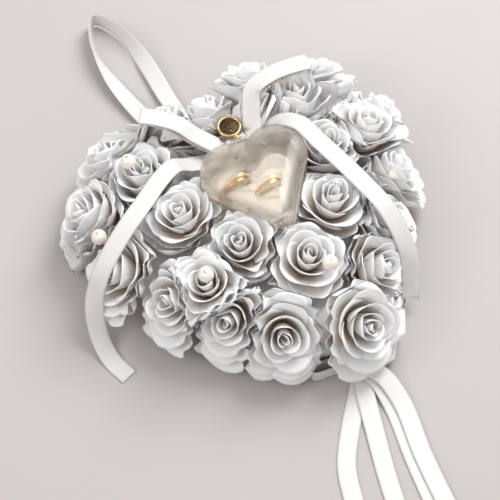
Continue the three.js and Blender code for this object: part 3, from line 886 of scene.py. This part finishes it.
def press_for_lid(points):
    """Keeps petals out of the space behind the box that the opening lid sweeps."""
    ceiling = BOX_PLACE[2] + HINGE_Z - 1.2
    middle_x, reach = 8, BOX["width"] / 2 + 2
    front, back = 32, 71
    x, y = points[:, 0], points[:, 1]
    inside = (np.abs(x - middle_x) < reach) & (y > front) & (y < back)
    lowered = points.copy()
    lowered[inside, 2] = squeeze(points[inside, 2], ceiling, 6.0)
    return lowered


def press_for_bow(points):
    """Presses petals down under the charm and out from the sides of the bow's knot."""
    x, y = LINK_PLACE
    reach = CHARM_RADIUS + 1.6
    ceiling = LINK_HEIGHT - 2.6
    front, back = y - 8, y + 20
    inside = (np.abs(points[:, 0] - x) < reach) & (points[:, 1] > front) & (points[:, 1] < back)
    lowered = points.copy()
    lowered[inside, 2] = squeeze(points[inside, 2], ceiling, 8.0)
    half_width, half_length = 7.4, 5.9
    left, right, near, far = x - half_width, x + half_width, y - half_length, y + half_length
    knot = [(left, near), (right, near), (right, far), (left, far)]
    above_all = 200
    return press_from_outline(lowered, knot, 0.1, above_all)


def build_roses():
    """Each rose's petals are grown, leant over and then pressed back from all that it meets."""
    nodes = nodes_named("rose_")
    middles = {name: middle_of(name) for name in nodes}
    balls = []
    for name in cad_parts:
        if name.startswith("pearl_"):
            balls.append((middle_of(name), PEARL_RADIUS + 0.2))
        elif name.startswith("rhinestone_"):
            balls.append((middle_of(name), STONE_RADIUS + 0.7))
    outline = box_outline()
    lying = ("bow_tail_left", "bow_tail_right", "bow_loop_left", "bow_loop_right")
    strips = [ribbon_frames(name, 3)[0] for name in lying]
    for index, name in enumerate(nodes):
        dice = random.Random(100 + index)
        local, faces, depth = rose_shape(dice)
        middle = middles[name]
        axis = rose_axis(middle)
        turn = np.array(axis.to_track_quat("Z", "Y").to_matrix())
        points = local @ turn.T + np.array(middle - axis * (ROSE_HEIGHT / 2 - 0.5))
        points = press_between(points, middle, [m for n, m in middles.items() if n != name])
        points = press_for_lid(points)
        points = press_for_bow(points)
        points = press_from_outline(points, outline, 0.6, BOX_PLACE[2] + LID_TOP + 12)
        for frames in strips:
            points = press_under_strip(points, frames)
        points = press_from_balls(points, balls)
        points[:, 2] = -squeeze(-points[:, 2], -1.0, 4.0)  # none lower than 1 mm
        rose = make_object(f"foam_{name}", points, faces, FOAM)
        # The depth attribute sets how much painted shade the foam gets.
        layer = rose.data.attributes.new("depth", "FLOAT", "POINT")
        layer.data.foreach_set("value", depth.astype(np.float32))
        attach(rose, "pillow")
        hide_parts(name)


build_roses()

# ---- Cushion -----------------------------------------------------------------------------


def build_cushion():
    """The stuffed heart: two satin panels, the upper one crowned and eased into the seam."""
    levels = [
        (1.4, 0.93), (3, 0.955), (6, 0.978), (10, 0.993), (13, 0.998), (17, 0.994), (21, 0.98),
        (25, 0.955), (28.5, 0.915), (31.5, 0.86), (33.7, 0.79), (35, 0.7), (35.7, 0.58),
        (35.95, 0.4), (CUSHION_HEIGHT, 0.2),
    ]
    outline = heart(CUSHION, 0, 16)
    gathers, gather_depth, gather_top = 34, 0.42, 14  # the puckers that rise from the seam
    rings = []
    for z, scale in levels:
        ring = []
        for i, (x, y) in enumerate(outline):
            wave = math.sin(2 * math.pi * i * gathers / len(outline))
            grown = scale + gather_depth * wave * max(0, 1 - z / gather_top) / math.hypot(x, y)
            ring.append((x * grown, y * grown, z))
        rings.append(ring)
    top = loft("cushion_cover", rings, SATIN)
    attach(top, "pillow")
    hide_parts("upper_satin_panel", "fibre_filling")

    base_levels = [
        (0, 0.5), (0, 0.85), (0.05, 0.905), (0.35, 0.918), (0.75, 0.916), (0.8, 0.9), (0.8, 0.5),
    ]
    rings = [[(x * scale, y * scale, z) for x, y in outline] for z, scale in base_levels]
    base = loft("cushion_base", rings, SATIN)
    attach(base, "pillow")
    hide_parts("lower_satin_panel")


build_cushion()

# ---- Ring box ----------------------------------------------------------------------------


def barrel(name, x0, x1, arm_low, arm_high):
    """One knuckle of the hinge: a round-ended barrel with its arm to the wall."""
    bore, ease = 1.15, 0.35
    length = x1 - x0
    profile = [
        (bore, 0), (BARREL_RADIUS - ease, 0), (BARREL_RADIUS, ease), (BARREL_RADIUS, length - ease),
        (BARREL_RADIUS - ease, length), (bore, length),
    ]
    along_x = moved(x0, HINGE_Y, HINGE_Z) @ quarter_turn("Y")
    tube = lathe(f"{name}_tube", profile, PLASTIC, BOX_FRAME @ along_x, 32, closed=True)
    left, right, near, far = x0 + 0.1, x1 - 0.1, 27.4, HINGE_Y - 1.6
    corners = [(left, near), (right, near), (right, far), (left, far)]
    arm = loft(f"{name}_arm", [level(corners, arm_low), level(corners, arm_high)], PLASTIC, BOX_FRAME)
    return [tube, arm]


def shell(name, levels):
    """A moulded wall through (inset, height) levels, from one middle round to the other."""
    rings = [level(heart(BOX, inset), z) for inset, z in levels]
    return loft(name, rings, PLASTIC, BOX_FRAME)


def build_box():
    """The tray and the domed lid, each a closed wall that starts and ends at the middle."""
    core = 14  # the inset of a wall's middle rounds
    lip = 0.45
    tray_levels = [
        (core, 0), (2.2, 0), (0.7, 0.25), (0.15, 0.8), (0, 1.6), (0, TRAY_HEIGHT - 0.5),
        (0.15, TRAY_HEIGHT - 0.12), (0.5, TRAY_HEIGHT), (WALL - lip, TRAY_HEIGHT),
        (WALL - 0.1, TRAY_HEIGHT - 0.15), (WALL, TRAY_HEIGHT - 0.5), (WALL, WALL + 1.5),
        (WALL + 0.4, WALL + 0.4), (WALL + 1.5, WALL), (core, WALL),
    ]
    tray = shell("tray_wall", tray_levels)
    knuckles = barrel("tray_a", *BARREL_ENDS, HINGE_Z - 2.2, TRAY_HEIGHT)
    knuckles += barrel("tray_b", -BARREL_ENDS[1], -BARREL_ENDS[0], HINGE_Z - 2.2, TRAY_HEIGHT)
    tray = join("box_tray", [tray] + knuckles)
    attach(tray, "pillow")
    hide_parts("ring_box_tray")

    # The dome's rises above its shoulder outside, and its drops below its ceiling inside.
    rises = [
        (0, -0.3), (0.25, 0.7), (1.2, 2.2), (2.6, 3.5), (4.2, 4.45), (6.2, 5.15), (8.4, 5.6), (9.2, 5.85),
    ]
    drops = [(core, 0), (9.4, 0.2), (7.0, 0.75), (5.0, 1.7), (3.4, 3.1), (2.3, 4.9), (WALL, 6.6)]
    outside = [(0.3, LID_BOTTOM), (0, LID_BOTTOM + 0.4)]
    outside += [(inset, LID_SHOULDER + rise) for inset, rise in rises] + [(core, LID_TOP)]
    ceiling = [(inset, LID_TOP - WALL - drop) for inset, drop in drops]
    ceiling += [(WALL, LID_BOTTOM + 0.4), (WALL - 0.3, LID_BOTTOM)]
    lid = shell("lid_wall", outside[::-1] + ceiling[::-1])
    middle = barrel("lid_a", -MIDDLE_BARREL, MIDDLE_BARREL, LID_BOTTOM + 0.1, LID_BOTTOM + 2)
    lid = join("box_lid_cover", [lid] + middle)
    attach(lid, "lid")
    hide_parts("ring_box_lid")


def build_insert():
    """The foam heart that holds the rings, with a slit cut for each of them."""
    levels = [
        (0.8, 2.4), (0.1, 3.2), (0, 6), (0, INSERT_TOP - 1.6), (0.4, INSERT_TOP - 0.5), (1.3, INSERT_TOP),
    ]
    rings = [level(heart(BOX, INSERT_INSET + inset, 16), z) for inset, z in levels]
    insert = loft("sponge_insert", rings, SPONGE, BOX_FRAME)
    face_outward(insert, weld=True)
    gap = 0.25
    floor, above = INSERT_TOP - 11.8, INSERT_TOP + 4
    for x, y in RING_PLACES.values():
        left, right = x - RING_OUTER - gap, x + RING_OUTER + gap
        near, far = y - RING_BAND / 2 - gap, y + RING_BAND / 2 + gap
        corners = [(left, near), (right, near), (right, far), (left, far)]
        cutter = loft("slit", [level(corners, floor), level(corners, above)], SPONGE, BOX_FRAME)
        cut = insert.modifiers.new("slit", "BOOLEAN")
        cut.operation = "DIFFERENCE"
        cut.solver = "EXACT"
        cut.object = cutter
        apply_modifiers(insert)
        bpy.data.objects.remove(cutter)
    bevel = insert.modifiers.new("soft_edges", "BEVEL")
    bevel.width = 0.5 * MM
    bevel.segments = 3
    bevel.limit_method = "ANGLE"
    bevel.angle_limit = math.radians(50)
    apply_modifiers(insert)
    for polygon in insert.data.polygons:
        polygon.use_smooth = True
    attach(insert, "pillow")
    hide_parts("foam_insert")


def build_rings():
    """Court-shaped bands: softly crowned outside, eased inside."""
    half = RING_BAND / 2
    bodies = {"ring_left": "left_ring", "ring_right": "right_ring"}
    crown = [
        (-1.0, 0.35), (-0.93, 0.12), (-0.7, 0.03), (0, 0), (0.7, 0.03), (0.93, 0.12), (1.0, 0.35),
    ]
    outside = [(RING_OUTER - drop, half * share) for share, drop in crown]
    inside = [(RING_INNER + 0.75 * drop, half * share) for share, drop in reversed(crown)]
    for name, (x, y) in RING_PLACES.items():
        stand = moved(x, y, INSERT_TOP + RING_RISE) @ quarter_turn("X")
        band = lathe(f"gold_{name}", outside + inside, GOLD, BOX_FRAME @ stand, 96, closed=True)
        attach(band, bodies[name])
        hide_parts(name)


def build_pin():
    """The hinge's pin, with a chamfer at each end."""
    profile = [(0.05, -6.2), (0.6, -6.2), (0.78, -6.0), (0.78, 6.0), (0.6, 6.2), (0.05, 6.2)]
    place = moved(0, HINGE_Y, HINGE_Z) @ quarter_turn("Y")
    pin = lathe("steel_pin", profile, STEEL, BOX_FRAME @ place, 24)
    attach(pin, "pillow")
    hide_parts("hinge_pin")


build_box()
build_insert()
build_rings()
build_pin()

# ---- Charm, pearls and stones ------------------------------------------------------------


def build_charm():
    """A domed disc with a ring of fine beads, a round rim, and an eye on a short neck."""
    x, y = LINK_PLACE
    at = moved(x, y + CHARM_REACH, LINK_HEIGHT)
    plate_profile = [
        (0.05, -0.7), (6.6, -0.7), (7.1, -0.55), (7.1, 0.5), (6.6, 0.62), (5.9, 0.5), (5.6, 0.55),
        (3.2, 0.75), (1.4, 0.85), (0.05, 0.88),
    ]
    plate = lathe("charm_plate", plate_profile, BRONZE, at, 64)
    wire = 0.95
    wire_middle = CHARM_RADIUS - 1.05
    rim_profile = [(wire_middle + out, up) for out, up, _ in circle(turns_of(12), wire, 0)]
    rim = lathe("charm_rim", rim_profile, OLD_GOLD, at, 72, closed=True)
    bead = [(0.02, -0.3), (0.28, -0.1), (0.3, 0.1), (0.15, 0.28), (0.02, 0.3)]
    beads = [
        lathe(f"bead_{i}", bead, BRONZE, at @ moved(*spot), 8)
        for i, spot in enumerate(circle(turns_of(36), 5.9, 0.5))
    ]
    across = moved(x, y, LINK_HEIGHT) @ quarter_turn("Y")
    eye_profile = [(0.85, -1.5), (1.2, -1.5), (1.4, -1.2), (1.4, 1.2), (1.2, 1.5), (0.85, 1.5)]
    eye = lathe("charm_eye", eye_profile, OLD_GOLD, across, 28, closed=True)
    shape = [(x - 1.2, y + 1.0), (x + 1.2, y + 1.0), (x + 1.5, y + 2.6), (x - 1.5, y + 2.6)]
    neck_levels = [level(shape, LINK_HEIGHT - 0.6), level(shape, LINK_HEIGHT + 0.6)]
    neck = loft("charm_neck", neck_levels, OLD_GOLD)
    charm = join("bronze_charm", [plate, rim, eye, neck] + beads)
    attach(charm, "charm_disc")
    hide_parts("charm")


def build_link():
    """A bent wire: a bar through the charm's eye with a leg down into the knot at each end."""
    x, y = LINK_PLACE
    half, drop, radius, bend = 2.55, 1.6, 0.4, 0.5
    left, bend_z = x - half, LINK_HEIGHT - bend
    path = [Vector((left, y, LINK_HEIGHT - drop)), Vector((left, y, bend_z))]
    bend_steps = 6
    for i in range(1, bend_steps):
        turn = math.pi / 2 * i / bend_steps
        path.append(Vector((left + bend * (1 - math.cos(turn)), y, bend_z + bend * math.sin(turn))))
    path += [Vector((left + bend, y, LINK_HEIGHT)), Vector((x, y, LINK_HEIGHT))]
    path += [Vector((2 * x - p.x, p.y, p.z)) for p in reversed(path[:-1])]
    side = Vector((0, 1, 0))
    turns = turns_of(12)
    rings = []
    for i, point in enumerate(path):
        ahead = (path[min(i + 1, len(path) - 1)] - path[max(i - 1, 0)]).normalized()
        up = side.cross(ahead)
        rings.append([tuple(point + radius * (side * math.cos(t) + up * math.sin(t))) for t in turns])
    wire = loft("steel_link", rings, STEEL)
    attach(wire, "pillow")
    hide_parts("charm_link")


def build_pearls():
    """Drilled beads, each held by a pin with a small round head."""
    steps = [math.pi * i / 28 for i in range(2, 27)]
    sphere = [(PEARL_RADIUS * math.sin(t), -PEARL_RADIUS * math.cos(t)) for t in steps]
    drilled = [(0.5, -4.0), (0.55, -4.7)] + sphere + [(0.55, 4.7), (0.5, 4.0)]
    head = [(0.05, 4.2), (0.95, 4.75), (1.0, 4.95), (0.6, 5.2), (0.05, 5.25)]
    for name in nodes_named("pearl_"):
        at = placed_on_rose(name)
        pearl = lathe(f"lustre_{name}", drilled, PEARL, at, 40)
        pin = lathe(f"pin_{name}", head, SILVER, at, 20)
        piece = join(f"bead_{name}", [pearl, pin])
        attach(piece, "pillow")
        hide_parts(name)


def stone_facets(name, radius, matrix):
    """A round brilliant: a table, star, kite and girdle facets, and a pavilion below."""
    eight, sixteen = turns_of(8), turns_of(16)
    shifted = [t + math.pi / 8 for t in eight]
    points = circle(eight, 0.55 * radius, 1.0) + circle(shifted, 0.78 * radius, 0.66)
    points += circle(sixteen, radius, 0.15) + circle(sixteen, radius, -0.05) + [(0, 0, -1.0)]
    faces = [tuple(range(8))]
    for i in range(8):
        j = (i + 1) % 8
        before = (i - 1) % 8
        g = 16 + 2 * i
        faces.append((i, j, 8 + i))
        faces.append((i, 8 + i, g, 8 + before))
        faces.append((8 + i, g + 1, g))
        faces.append((8 + i, 16 + (2 * i + 2) % 16, g + 1))
    for i in range(16):
        j = (i + 1) % 16
        faces.append((16 + i, 16 + j, 32 + j, 32 + i))
        faces.append((32 + i, 32 + j, 48))
    made = make_object(name, points, faces, CRYSTAL, smooth=False, matrix=matrix)
    face_outward(made)
    return made


def build_stones():
    """Each stone sits in a cup with four claws."""
    cup_profile = [
        (0.05, -1.2), (1.7, -1.2), (2.35, -0.4), (2.6, 0.15), (2.5, 0.3), (2.2, -0.2), (0.05, -1.0),
    ]
    claw = [(0.02, -0.5), (0.3, -0.35), (0.32, 0.2), (0.18, 0.45), (0.02, 0.5)]
    for name in nodes_named("rhinestone_"):
        at = placed_on_rose(name)
        stone = stone_facets(f"{name}_stone", STONE_RADIUS, at @ moved(0, 0, 0.1))
        cup = lathe(f"{name}_cup", cup_profile, SILVER, at, 24)
        claws = []
        for i in range(4):
            turn = Matrix.Rotation(math.pi / 2 * i + 0.4, 4, "Z")
            spot = at @ turn @ moved(STONE_RADIUS, 0, 0.3)
            claws.append(lathe(f"{name}_claw_{i}", claw, SILVER, spot, 10))
        piece = join(f"cut_{name}", [stone, cup] + claws)
        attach(piece, "pillow")
        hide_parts(name)


build_charm()
build_link()
build_pearls()
build_stones()

# ---- Knots -------------------------------------------------------------------------------


def build_knot(node, folds, name):
    """A puffed wrap of ribbon: a pillow of cloth with folds round it."""
    low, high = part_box(node)
    middle = (low + high) / 2 / MM
    size = (high - low) / 2 / MM
    around, along = 48, 20
    squareness = 0.55  # 1 is a round cross-section, less is squarer
    fold_depth = 0.05
    end_size, waist_size = 0.8, 0.84
    rings = []
    for i in range(along + 1):
        t = -1 + 2 * i / along
        at_end = i in (0, along)
        waist = end_size if at_end else waist_size + (1 - waist_size) * abs(t) ** 1.5
        ring = []
        for angle in turns_of(around):
            ripple = 1 - fold_depth * abs(math.sin(folds * t * 2.2 + 0.6 * math.sin(angle * 2)))
            cos, sin = math.cos(angle), math.sin(angle)
            round_y = math.copysign(abs(cos) ** squareness, cos)
            round_z = math.copysign(abs(sin) ** squareness, sin)
            ring.append((
                middle.x + size.x * t * 0.98,
                middle.y + size.y * round_y * waist * ripple,
                middle.z + size.z * round_z * waist * ripple,
            ))
        rings.append(ring)
    knot = loft(name, rings, SATIN)
    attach(knot, "pillow")
    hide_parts(node)


build_knot("bow_knot", 3, "satin_bow_knot")
build_knot("tip_knot", 2, "satin_tip_knot")

# ---- Stage -------------------------------------------------------------------------------


def soft_lamp(name, azimuth, elevation, distance, size, power, color=(1, 1, 1), long=None):
    data = bpy.data.lights.new(name, "AREA")
    data.energy = power
    data.color = color
    data.size = size
    if long:
        data.shape = "RECTANGLE"
        data.size_y = long
    lamp = add_object(name, data)
    centre = Vector((0, 0, 0.04))
    stand_off(lamp, centre, math.radians(azimuth), math.radians(elevation), distance)


def build_stage():
    """A plain floor, a pale surround and two soft lamps."""
    bpy.ops.mesh.primitive_plane_add(size=8, location=(0, 0, 0))
    floor = bpy.context.active_object
    floor.name = "floor"
    floor.data.materials.append(floor_material())
    world = bpy.data.worlds.new("studio")
    world.use_nodes = True
    surround = world.node_tree.nodes["Background"].inputs
    surround["Color"].default_value = (1, 0.99, 0.97, 1)
    surround["Strength"].default_value = 0.66
    bpy.context.scene.world = world
    soft_lamp("key", 110, 52, 1.2, 0.5, 13, long=0.9)
    soft_lamp("fill", -95, 40, 1.2, 0.6, 3.5, (1, 0.97, 0.93))
    bpy.context.scene.view_settings.view_transform = "Standard"


build_stage()
